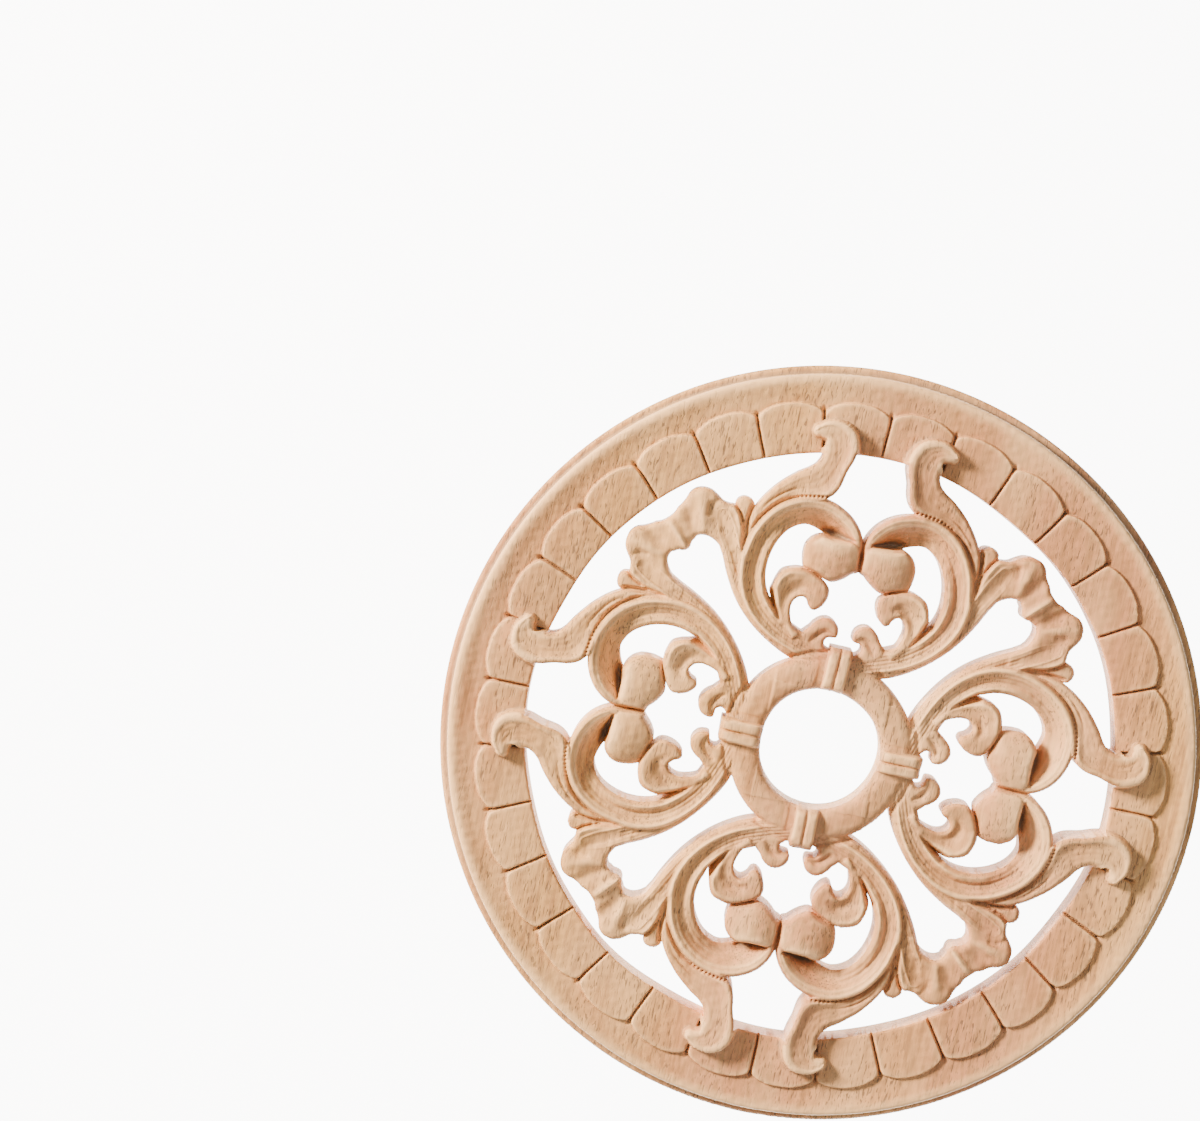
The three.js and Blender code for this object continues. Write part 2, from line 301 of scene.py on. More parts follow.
@dataclass(frozen=True)
class Patch:
    """A shape drawn by its closed outline on the plan, with a rounded shoulder all round.

    Attributes:
        outline: Points of the outline, in order.
        edge: Height at the outline in millimetres.
        crown: Height inside the shoulder in millimetres.
        shoulder: Width of the shoulder in millimetres.
        blend: How its surface meets the rest.
        fall: How steeply the surface goes on falling outside the outline.
        dome: Centre across and up on the plan, and how many millimetres the crown drops per squared
            plan unit away from it, across and up.
        least_rise: Least height of the crown over the edge in millimetres.
        steps: Points of the smooth outline.
    """

    outline: tuple[tuple[float, float], ...]
    edge: float
    crown: float
    shoulder: float
    blend: Blend = Blend.CRISP
    fall: float = FALL
    dome: Quad = (0.0, 0.0, 0.0, 0.0)
    least_rise: float = 0.5
    steps: int = 140

    def surface(self, u: Array, v: Array, unit: float) -> tuple[Array, Array]:
        """Height and inset of the shape.

        The inset is the distance to the outline, counted as positive where a line to the right crosses
        the outline an odd number of times. The shoulder is a quarter of an ellipse over the inset, and
        the crown is a flat dome that falls with the square of the distance from its centre.

        Args:
            u: Plan places across.
            v: Plan places up.
            unit: Millimetres in a plan unit.

        Returns:
            Heights in millimetres and insets inside the outline in millimetres.
        """
        points = np.array(self.outline, float)
        looped = smooth_route(np.vstack([points[-2:], points, points[:2]]), 2 * self.steps)
        first = np.argmin(np.hypot(*(looped[:self.steps] - points[0]).T))
        last = self.steps + np.argmin(np.hypot(*(looped[self.steps:] - points[0]).T))
        route = np.vstack([looped[first:last], looped[first]])
        height = np.full(u.shape, -np.inf)
        inset = np.full(u.shape, -np.inf)
        for part in near_parts(route, REACH / unit, u, v):
            _, offset, _ = nearest_on(route, u[part], v[part])
            above = route[None, :, 1] > v[part][:, None]
            crosses = above[:, 1:] != above[:, :-1]
            rise = route[1:, 1] - route[:-1, 1]
            slope = (route[1:, 0] - route[:-1, 0]) / np.where(np.abs(rise) < TINY ** 2, TINY ** 2, rise)
            meets = route[:-1, 0] + (v[part][:, None] - route[:-1, 1]) * slope
            inside = (crosses & (meets > u[part][:, None])).sum(1) % 2 == 1
            reach = np.where(inside, 1, -1) * np.abs(offset) * unit
            t = np.clip(reach / self.shoulder, 0, 1)
            middle_u, middle_v, drop_u, drop_v = self.dome
            crown = self.crown - drop_u * (u[part] - middle_u) ** 2 - drop_v * (v[part] - middle_v) ** 2
            level = self.edge + np.maximum(crown - self.edge, self.least_rise) * np.sqrt(1 - (1 - t) ** 2)
            height[part] = level - self.fall * np.maximum(-reach, 0)
            inset[part] = reach
        return height, inset


@dataclass(frozen=True)
class Fold:
    """A ridge or a groove along a smooth line, laid over the joined surface.

    Attributes:
        line: Control points of across, up, half width in plan units and height in millimetres, which
            is below nought for a groove.
        beat: Spacing of punch marks along it in plan units, or nought for an even fold.
        punch_power: How narrow each punch mark is against the space between two.
        reach: How many half widths from its line the fold is worked out.
        steps: Points of the smooth line.
    """

    line: tuple[Quad, ...]
    beat: float = 0.0
    punch_power: float = 1.5
    reach: float = 3.0
    steps: int = 60

    def lift(self, u: Array, v: Array) -> Array:
        """How much the fold lifts the surface: a bell curve of the distance over its half width.

        Args:
            u: Plan places across.
            v: Plan places up.

        Returns:
            Lifts in millimetres.
        """
        route = smooth_route(np.array(self.line, float), self.steps)
        length = np.linalg.norm(np.diff(route[:, :2], axis=0), axis=1).sum()
        lift = np.zeros(u.shape)
        for part in near_parts(route, self.reach * route[:, 2].max(), u, v):
            place, offset, values = nearest_on(route, u[part], v[part])
            bell = values[:, 1] * np.exp(-(offset / np.maximum(values[:, 0], LEAST)) ** 2)
            if self.beat > 0:
                turns = place / (len(route) - 1) * length / self.beat
                bell *= (0.5 + 0.5 * np.cos(2 * math.pi * turns)) ** self.punch_power
            lift[part] = bell
        return lift


@dataclass(frozen=True)
class RoundFrame:
    """The round frame: an outer ledge, a rounded band with a hollow, and a ring of overlapping tongues.

    Attributes:
        inner: Radius of its inner edge.
        profile: Radius and height in millimetres of its turned profile.
        tongues: How many tongues go round.
        crest: Radius that the middle of each tongue's arch reaches.
        end_drop: How much lower the arch is where it meets the next one.
        roundness: How flat the top of the arch is.
        corner_round: Squared width over which an arch and its sides round into each other.
        rise: Height in millimetres of a tongue over the profile.
        shoulder: Width in millimetres over which it rises.
        side_groove: Depth in millimetres of the groove between two tongues.
        arch_groove: Depth in millimetres of the line round an arch.
        groove_width: Half width of both in millimetres.
        fade: Length at the inner edge over which the grooves die out.
        notch_radius: Radius at which two arches meet in a notch.
        notch_depth: Depth in millimetres of that notch.
        notch_along: Half length of the notch.
        notch_across: Half width of the notch.
        profile_steps: Points of the smooth profile.
    """

    inner: float = 77.4
    profile: tuple[tuple[float, float], ...] = (
        (74, 10.9), (77.4, 11.5), (82, 12.3), (86.5, 13.0), (90.4, 13.4), (92.5, 13.8), (94.6, 14.5),
        (96, 15.0), (97.1, 14.9), (97.7, 13.9), (97.95, 10.2), (98.2, 9.2), (99.2, 9.1), (100, 8.6),
    )
    tongues: int = 32
    crest: float = 90.9
    end_drop: float = 2.9
    roundness: float = 2.4
    corner_round: float = 0.3
    rise: float = 1.35
    shoulder: float = 0.75
    side_groove: float = 1.0
    arch_groove: float = 0.15
    groove_width: float = 0.5
    fade: float = 6.0
    notch_radius: float = 88.6
    notch_depth: float = 1.3
    notch_along: float = 0.9
    notch_across: float = 0.5
    profile_steps: int = 200

    def surface(self, u: Array, v: Array, unit: float) -> tuple[Array, Array]:
        """Height and inset of the frame.

        The height is a turned profile read by radius. Every tongue lifts it a little inside its outline,
        which is two radial sides and a flat-topped arch. A groove follows the sides, the arch is a step,
        and there is a small notch where two arches meet.

        Args:
            u: Plan places across.
            v: Plan places up.
            unit: Millimetres in a plan unit.

        Returns:
            Heights in millimetres and insets inside its edges in millimetres.
        """
        radius = np.hypot(u, v)
        turn = 2 * math.pi / self.tongues
        angle = np.mod(np.arctan2(u, v), turn) - turn / 2
        side = np.abs(radius * np.sin(angle))
        half = radius * math.tan(turn / 2)
        arch = self.crest - self.end_drop * (side / half) ** self.roundness
        end = arch - radius * np.cos(angle)
        flank = half - side
        inside = 0.5 * (end + flank - np.sqrt((end - flank) ** 2 + self.corner_round)) * unit
        lift = self.rise * smooth_step(inside / self.shoulder)
        groove = self.arch_groove * np.exp(-(inside / self.groove_width) ** 2)
        groove += (self.side_groove * np.exp(-(flank * unit / self.groove_width) ** 2)
                   * smooth_step(end * unit / self.shoulder + 0.5))
        groove *= smooth_step((radius - self.inner + self.fade) / self.fade)
        groove += self.notch_depth * np.exp(-((radius - self.notch_radius) / self.notch_along) ** 2
                                            - (flank / self.notch_across) ** 2)
        turned = smooth_route(np.array(self.profile, float), self.profile_steps)
        base = np.interp(radius, turned[:, 0], turned[:, 1])
        inset = np.minimum(PLAN_RADIUS - radius, radius - self.inner) * unit
        return base + lift - groove - FALL * np.maximum(-inset, 0), inset


@dataclass(frozen=True)
class CentreRing:
    """The ring round the centre hole, with a ribbed clasp over it on every axis.

    Attributes:
        hole: Radius of the hole.
        outer: Radius of the ring's outer edge.
        edge: Height of both edges in millimetres.
        crown: Height of the ring's middle in millimetres.
        flatness: How flat the ring's section is on top.
        roundness: How round it is towards its edges.
        clasp_half: Half width of a clasp.
        clasp_end: Radius that a clasp reaches.
        clasp_base: Height of a clasp between its ribs in millimetres.
        rib_rise: Height of the ribs over that in millimetres.
        clasp_drop: How far a clasp bends down at its ends in millimetres.
        clasp_fall: How steeply its surface goes on falling outside its edge.
    """

    hole: float = 15.8
    outer: float = 24.2
    edge: float = 13.0
    crown: float = 16.0
    flatness: float = 3.0
    roundness: float = 0.6
    clasp_half: float = 2.9
    clasp_end: float = 27.0
    clasp_base: float = 16.6
    rib_rise: float = 1.7
    clasp_drop: float = 3.0
    clasp_fall: float = 4.5

    def surface(self, u: Array, v: Array, unit: float) -> tuple[Array, Array]:
        """Height and inset of the ring: half round over upright edges.

        Args:
            u: Plan places across.
            v: Plan places up.
            unit: Millimetres in a plan unit.

        Returns:
            Heights in millimetres and insets inside its edges in millimetres.
        """
        radius = np.hypot(u, v)
        middle, half = 0.5 * (self.hole + self.outer), 0.5 * (self.outer - self.hole)
        side = np.clip(np.abs(radius - middle) / half, 0, 1)
        inset = (half - np.abs(radius - middle)) * unit
        rise = np.clip(1 - side ** self.flatness, 0, 1) ** self.roundness
        return self.edge + (self.crown - self.edge) * rise - FALL * np.maximum(-inset, 0), inset

    def clasp(self, u: Array, v: Array, unit: float) -> tuple[Array, Array]:
        """Height and inset of the clasp on the upright axis.

        Two ribs lie side by side, each the root of one less the fourth power of its own offset, and the
        clasp bends down at both ends with the sixth power of the distance from its middle.

        Args:
            u: Plan places across.
            v: Plan places up.
            unit: Millimetres in a plan unit.

        Returns:
            Heights in millimetres and insets inside its edges in millimetres.
        """
        middle, half = 0.5 * (self.hole + self.clasp_end), 0.5 * (self.clasp_end - self.hole)
        side = np.clip(np.abs(u) / self.clasp_half, 0, 1)
        rib = np.clip(1 - ((side - 0.5) / 0.5) ** 4, 0, 1) ** 0.5
        along = np.clip(np.abs(v - middle) / half, 0, 1)
        inset = np.minimum(self.clasp_half - np.abs(u), half - np.abs(v - middle)) * unit
        level = self.clasp_base + self.rib_rise * rib - self.clasp_drop * along ** 6
        return level - self.clasp_fall * np.maximum(-inset, 0), inset


SCROLL = Stroke(
    spine=(
        (1.2, 22.6, 2.4, 2.4), (9.5, 25.2, 2.9, 2.9), (17, 28.4, 3.1, 3.1), (22.6, 33, 3.3, 3.3),
        (26.3, 39, 3.5, 3.5), (27.4, 45.5, 3.6, 3.7), (26, 52.3, 3.7, 3.8), (22.2, 57.7, 3.7, 3.7),
        (16.6, 60.6, 3.8, 3.8), (10.8, 60.4, 3.8, 4.5), (6, 57.9, 3.7, 4.6), (3, 54, 3.1, 4),
        (2.7, 50, 2.8, 3), (4, 47.6, 2.4, 2.4),
    ),
    sides=(-1, -0.78, -0.35, 0.15, 0.6, 1),
    heights=(
        (12.5, 14.0, 14.4, 14.2, 13.6, 12.4),
        (13.6, 15.0, 14.6, 14.4, 14.4, 13.4),
        (14.4, 16.0, 14.8, 14.4, 15.2, 14.0),
        (15.0, 16.6, 15.2, 14.2, 15.8, 14.6),
        (15.4, 17.0, 15.6, 14.1, 15.4, 14.4),
        (15.8, 17.2, 16.2, 13.8, 13.2, 12.6),
        (16.2, 17.6, 16.5, 13.2, 10.4, 9.4),
        (16.0, 17.4, 16.7, 13.0, 9.4, 8.4),
        (12.5, 14.0, 14.0, 12.5, 11.0, 10.0),
    ),
    reeds=0.16,
)

STEM = Stroke(
    spine=(
        (1.2, 21.4, 1.2, 1.2), (11, 23.5, 2.3, 2.3), (17, 26.2, 2.4, 2.4), (22.6, 30.5, 2.6, 2.6),
        (27, 35.6, 2.9, 2.9), (30.6, 41.6, 3.1, 3.1), (33.4, 47.0, 3.0, 2.8), (35.9, 51.8, 3.4, 3.3),
        (37.4, 54.8, 2.6, 2.7),
    ),
    sides=(-1, -0.66, 0, 0.66, 1),
    heights=(
        (11.0, 13.0, 13.6, 13.0, 12.0),
        (11.8, 13.8, 14.4, 14.0, 12.6),
        (12.0, 14.4, 14.8, 14.2, 13.0),
        (12.2, 15.0, 15.0, 14.8, 13.0),
        (13.0, 15.6, 15.0, 15.6, 13.2),
        (12.8, 15.4, 14.4, 15.4, 12.6),
    ),
    blend=Blend.SOFT,
    reeds=0.14,
)

LEAF = Stroke(
    spine=(
        (30.2, 45.4, 0.9, 0.9), (29.9, 52, 1.9, 1.6), (27.3, 58.6, 2.5, 2.2), (23.1, 63.6, 3.1, 2.9),
        (18.6, 66.7, 3.8, 3.8), (13.9, 69.0, 4.6, 4.8), (11.7, 73.4, 3.8, 3.8), (11.0, 77.6, 4.2, 4.2),
        (12.2, 80.9, 4.4, 3.9), (14.8, 82.2, 3.3, 2.2), (17.3, 81.6, 1.5, 1.1),
    ),
    sides=(-1, -0.7, -0.2, 0.35, 0.75, 1),
    heights=(
        (12.6, 13.4, 13.8, 13.6, 13.2, 12.6),
        (13.2, 14.2, 14.6, 14.4, 14.0, 13.2),
        (14.0, 15.2, 15.4, 15.2, 15.0, 14.0),
        (14.6, 15.8, 15.8, 15.6, 16.0, 15.2),
        (15.0, 16.2, 16.0, 16.0, 17.2, 16.8),
        (15.8, 16.8, 16.8, 17.0, 18.4, 18.2),
        (16.8, 17.6, 17.8, 18.0, 19.2, 18.9),
        (17.0, 17.8, 18.2, 18.4, 19.2, 18.9),
        (16.8, 17.6, 18.2, 18.2, 18.4, 18.0),
    ),
    reeds=0.06,
)

FAN = Patch(
    outline=(
        (35.1, 44.6), (37.2, 47.2), (39.5, 48.5), (41.5, 48.7), (43.0, 48.0), (43.7, 46.6), (43.9, 45.3),
        (44.4, 44.4), (46.6, 43.7), (48.0, 43.0), (52.0, 45.0), (54.4, 48.6), (52.2, 49.8), (50.9, 50.9),
        (49.8, 52.2), (48.7, 54.4), (47.7, 56.3), (46.9, 58.5), (45.5, 59.9), (43.5, 60.5), (41.4, 60.3),
        (39.6, 59.3), (38.1, 58.3), (36.5, 58.0), (34.9, 58.0), (33.2, 56.2), (32.3, 53.9), (31.4, 50.0),
        (31.0, 46.4),
    ),
    edge=13.0, crown=15.0, shoulder=2.6,
)

CURL = Patch(
    outline=(
        (11.7, 28.2), (13.8, 30.2), (14.8, 32.4), (15.2, 35.0), (14.5, 36.9), (12.9, 37.8), (11.4, 36.8),
        (10.6, 35.3), (9.5, 34.9), (7.9, 36.0), (6.9, 37.8), (6.5, 39.6), (6.8, 41.3), (8.2, 42.7),
        (11.0, 44.2), (14.5, 45.2), (17.3, 44.7), (19.4, 43.6), (20.4, 41.6), (20.9, 39.4), (21.2, 37.6),
        (19.8, 34.8), (18.0, 31.5), (15.5, 28.8), (13.0, 26.6),
    ),
    edge=13.6, crown=15.6, shoulder=2.0,
)

SMALL_CURL = Patch(
    outline=(
        (4.0, 26.0), (4.9, 27.0), (5.0, 28.0), (4.4, 28.9), (3.1, 29.1), (2.2, 29.4), (2.0, 30.7),
        (2.5, 32.2), (3.8, 33.3), (5.5, 33.7), (7.3, 33.1), (8.6, 31.9), (9.5, 30.5), (10.5, 29.5),
        (11.4, 28.0), (9.5, 25.4), (6.0, 24.6),
    ),
    edge=12.8, crown=14.6, shoulder=2.0,
)

KNOB = Patch(
    outline=(
        (0.1, 53.5), (0.1, 47.0), (1.5, 46.3), (3.0, 44.9), (4.7, 43.7), (6.8, 42.9), (10.0, 43.8),
        (13.8, 45.0), (14.5, 46.5), (14.9, 49.0), (14.7, 51.5), (13.4, 53.7), (11.0, 55.1), (8.0, 54.8),
        (4.5, 54.7), (2.0, 54.8),
    ),
    edge=13.0, crown=18.4, shoulder=2.4, fall=6.0, dome=(6.6, 51.6, 0.055, 0.045),
)

BUD = Patch(
    outline=(
        (30.4, 51.5), (30.2, 54.5), (30.3, 57.5), (30.2, 59.4), (31.1, 60.5), (33.1, 60.8), (34.6, 59.8),
        (35.0, 58.2), (33.8, 56.2), (32.2, 53.0),
    ),
    edge=11.8, crown=14.2, shoulder=2.0,
)

FOLDS = (
    # The groove between scroll and leaf, and the punch marks along its end.
    Fold(((30.2, 47.5, 0.45, -0.5), (29.7, 52, 0.55, -1.5), (27.6, 57, 0.6, -1.9), (23.9, 61.3, 0.5, -1.7),
          (19.2, 63.8, 0.4, -1.3), (14, 64.9, 0.4, -1.0), (9.7, 65.4, 0.4, -0.8))),
    Fold(((21.4, 63.0, 0.34, -0.6), (17.5, 64.3, 0.38, -1.2), (10.3, 65.3, 0.38, -1.3)), beat=1.1),
    # The pocket between scroll and knob.
    Fold(((2.4, 54.9, 0.35, -1.2), (4.4, 55.2, 0.45, -3.0), (7.2, 55.8, 1.0, -3.8), (10.2, 56.2, 0.8, -2.4))),
    # A line along the leaf and the hollow of its tip.
    Fold(((29.0, 57.5, 0.35, -0.2), (26.4, 61.4, 0.35, -0.6), (22.5, 64.6, 0.35, -0.6),
          (17.5, 66.7, 0.3, -0.2))),
    Fold(((12.4, 73.5, 1.4, -0.1), (11.6, 77.5, 1.7, -0.3), (12.6, 80.0, 1.4, -0.4),
          (14.4, 81.4, 0.9, -0.3))),
    # The hollow of the curl, its raised rim and the pocket between it and the scroll.
    Fold(((15.4, 30.4, 1.2, -0.6), (17.0, 34.0, 1.7, -1.7), (16.4, 38.2, 1.8, -2.1),
          (13.4, 40.2, 1.5, -1.7), (11.2, 39.6, 0.9, -0.5))),
    Fold(((20.0, 38.0, 0.6, 0.3), (19.4, 41.2, 0.7, 0.7), (17.4, 43.2, 0.7, 0.7), (13.6, 43.8, 0.6, 0.2))),
    Fold(((17.4, 31.2, 0.5, -0.6), (19.4, 34.2, 0.7, -3.2), (21.2, 37.4, 1.0, -6.0))),
    # The groove between curl and knob.
    Fold(((6.9, 42.5, 0.4, -1.2), (10, 44.1, 0.4, -1.4), (14.2, 45.4, 0.4, -1.2))),
    # The hollow of the small curl and the groove under it.
    Fold(((3.2, 29.9, 0.5, -0.6), (5.4, 30.0, 0.8, -1.2), (7.2, 28.8, 0.8, -1.3), (8.4, 27.2, 0.6, -0.6))),
    Fold(((4.0, 25.2, 0.5, -0.4), (8.0, 24.1, 0.6, -0.9), (12.2, 22.2, 0.6, -1.5))),
    # The grooves on both sides of the bud.
    Fold(((30.4, 46.5, 0.4, -0.6), (30.8, 50.0, 0.5, -1.5), (31.1, 54.5, 0.55, -2.2),
          (30.9, 58.6, 0.5, -1.2))),
    Fold(((32.6, 54.4, 0.4, -1.2), (34.0, 57.0, 0.4, -1.4), (35.2, 58.4, 0.4, -0.6))),
    # The rims, hollows and ridges of the fan.
    Fold(((31.4, 47.0, 0.6, 0.2), (32.2, 50.5, 0.7, 0.7), (33.2, 54.0, 0.7, 0.9), (34.8, 56.8, 0.7, 0.8),
          (38.0, 58.0, 0.7, 0.3))),
    Fold(((34.4, 48.4, 1.4, -0.3), (36.8, 52.0, 2.0, -1.1), (39.0, 55.0, 1.8, -1.1),
          (40.4, 56.4, 1.0, -0.5))),
    Fold(((40.9, 54.4, 0.7, -0.7), (40.8, 56.2, 0.9, -0.8), (39.2, 58.6, 0.7, -0.4))),
    Fold(((41.6, 50.0, 0.8, 0.3), (42.6, 54.0, 1.3, 0.8), (43.6, 58.2, 1.4, 0.5))),
    Fold(((43.4, 48.8, 1.0, -0.4), (45.2, 52.0, 1.7, -1.3), (47.6, 55.4, 1.5, -0.9))),
    Fold(((44.9, 44.9, 0.8, 0.6), (47.8, 47.8, 1.1, 0.8), (50.8, 50.8, 1.0, 0.3))),
    # The groove between two mirrored knobs.
    Fold(((1.2, 57.0, 0.5, -0.4), (0.2, 54.0, 0.6, -1.1), (0.0, 50.0, 0.6, -1.4), (0.2, 47.6, 0.5, -0.8))),
)


@dataclass(frozen=True)
class Relief:
    """The whole carving as a function of the plan: every shape of one half repeat, copied eight times.

    Attributes:
        unit: Millimetres in a plan unit.
        ring: The ring at the centre.
        frame: The round frame.
        shapes: Shapes of the half repeat, in the order in which they are joined.
        folds: Ridges and grooves laid over the joined shapes.
        repeats: How many repeats go round.
        edge_round: Width of the sanded edge in millimetres.
        edge_drop: How far the surface falls over it in millimetres.
    """

    unit: float
    ring: CentreRing = CentreRing()
    frame: RoundFrame = RoundFrame()
    shapes: tuple[Stroke | Patch, ...] = (STEM, SCROLL, CURL, SMALL_CURL, KNOB, FAN, BUD, LEAF)
    folds: tuple[Fold, ...] = FOLDS
    repeats: int = 4
    edge_round: float = 0.9
    edge_drop: float = 0.55

    def half_repeat(self, x: Array, z: Array) -> tuple[Array, Array]:
        """Brings points to the half repeat to the right of the upright axis by turning and mirroring.

        Args:
            x: Plan places across.
            z: Plan places up.

        Returns:
            Plan places across and up in the half repeat.
        """
        turn = 2 * math.pi / self.repeats
        angle = np.abs(np.mod(np.arctan2(x, z) + turn / 2, turn) - turn / 2)
        radius = np.hypot(x, z)
        return radius * np.sin(angle), radius * np.cos(angle)

    def surface(self, x: Array, z: Array) -> tuple[Array, Array]:
        """Height of the wood over its back and inset inside the pierced outline.

        The highest shape wins at every point, with the corner between two shapes a little rounded, and
        the deepest inset wins for the outline. A shape that reaches over a mirror line is read on both
        sides of it. Near the outline the surface falls a little, as a sanded edge does.

        Args:
            x: Plan places across.
            z: Plan places up.

        Returns:
            Heights in millimetres and insets in millimetres.
        """
        u, v = self.half_repeat(x, z)
        views = ((u, v), (-u, v), (v, u))
        height, inset = self.frame.surface(x, z, self.unit)
        layers = [(*self.ring.surface(x, z, self.unit), Blend.CRISP)]
        layers += [(*shape.surface(*view, self.unit), shape.blend) for shape in self.shapes for view in views]
        layers.append((*self.ring.clasp(u, v, self.unit), Blend.CRISP))
        for level, reach, blend in layers:
            known = np.isfinite(level)
            height[known] = higher(height[known], level[known], blend.value)
            inset[known] = np.maximum(inset[known], reach[known])
        for fold in self.folds:
            for view in views:
                height += fold.lift(*view)
        rim = np.clip(1 - inset / self.edge_round, 0, 1)
        return height - self.edge_drop * rim ** 2, inset


@dataclass
class PlanGrid:
    """A square grid over the plan with the relief worked out at every point.

    Attributes:
        relief: The carving.
        step: Spacing of the grid in plan units.
        shift: Size of the slow shifts of the pattern.
        shift_end: Radius outside which nothing is shifted.
        shift_fade: Length over which the shifts die out towards it.
        shift_across: Waves of the shift across.
        shift_up: Waves of the shift up.
        mark_height: Height in millimetres of the ripples that the gouge left.
        marks: Waves of those ripples, which cross at odd angles.
        blurs: Reach in cells and weight of each blur that hollows are measured against.
        bare_edge: Width in millimetres along the outline where no hollow counts.
        edge_fade: Further width over which hollows come in.
        start: First place of the grid across and up.
        x: Plan places across.
        z: Plan places up.
        inset: Insets inside the outline in millimetres.
        height: Heights in millimetres.
    """

    relief: Relief
    step: float = 0.25
    shift: float = 0.28
    shift_end: float = 93.0
    shift_fade: float = 8.0
    shift_across: tuple[Quad, ...] = ((1.0, 0.071, 0.113, 0.7), (0.6, 0.171, -0.093, 2.1))
    shift_up: tuple[Quad, ...] = ((1.0, 0.103, -0.067, 1.9), (0.6, 0.083, 0.187, 4.0))
    mark_height: float = 0.028
    marks: tuple[Quad, ...] = (
        (1.0, 0.9, 1.7, 0.3), (1.0, 1.9, -0.8, 1.2), (1.0, -1.3, 2.3, 2.7), (1.0, 2.9, 1.1, 4.1),
        (1.0, 0.4, -2.6, 5.3),
    )
    blurs: tuple[tuple[int, float], ...] = ((2, 0.3), (4, 0.4), (10, 0.3))
    bare_edge: float = 0.5
    edge_fade: float = 1.5
    start: float = field(init=False)
    x: Array = field(init=False)
    z: Array = field(init=False)
    inset: Array = field(init=False)
    height: Array = field(init=False)

    def __post_init__(self) -> None:
        """Works out the relief on the grid."""
        count = 2 * int(math.ceil((PLAN_RADIUS + 2 * self.step) / self.step)) + 1
        self.start = -self.step * (count - 1) / 2
        line = self.start + self.step * np.arange(count)
        self.x, self.z = np.meshgrid(line, line)
        radius = np.hypot(self.x, self.z)
        fade = smooth_step((self.shift_end - radius) / self.shift_fade) * self.shift
        x = self.x + fade * waves(self.shift_across, self.x, self.z)
        z = self.z + fade * waves(self.shift_up, self.x, self.z)
        height, inset = self.relief.surface(x.ravel(), z.ravel())
        rim = (PLAN_RADIUS - radius) * self.relief.unit
        self.inset = np.minimum(inset.reshape(radius.shape), rim)
        self.height = height.reshape(radius.shape) + self.mark_height * waves(self.marks, self.x, self.z)

    def read(self, values: Array, x: Array, z: Array) -> Array:
        """Reads a grid at places on the plan.

        Args:
            values: A value for every point of the grid.
            x: Plan places across.
            z: Plan places up.

        Returns:
            A value for every place.
        """
        last = len(values) - 1
        row, column = (np.clip((place - self.start) / self.step, 0, last) for place in (z, x))
        return read_table(values, row, column)

    def hollows(self) -> Array:
        """Measures how far every point lies below the wood round it.

        Returns:
            The mean height near every point less its own, in millimetres.
        """
        wood = (self.inset > 0).astype(float)
        height = np.where(wood > 0, self.height, 0)
        depth = np.zeros_like(height)
        for cells, weight in self.blurs:
            mean = box_blur(box_blur(height * wood, cells), cells)
            cover = np.maximum(box_blur(box_blur(wood, cells), cells), LEAST)
            depth += weight * (mean / cover - self.height)
        return depth * smooth_step((self.inset - self.bare_edge) / self.edge_fade)


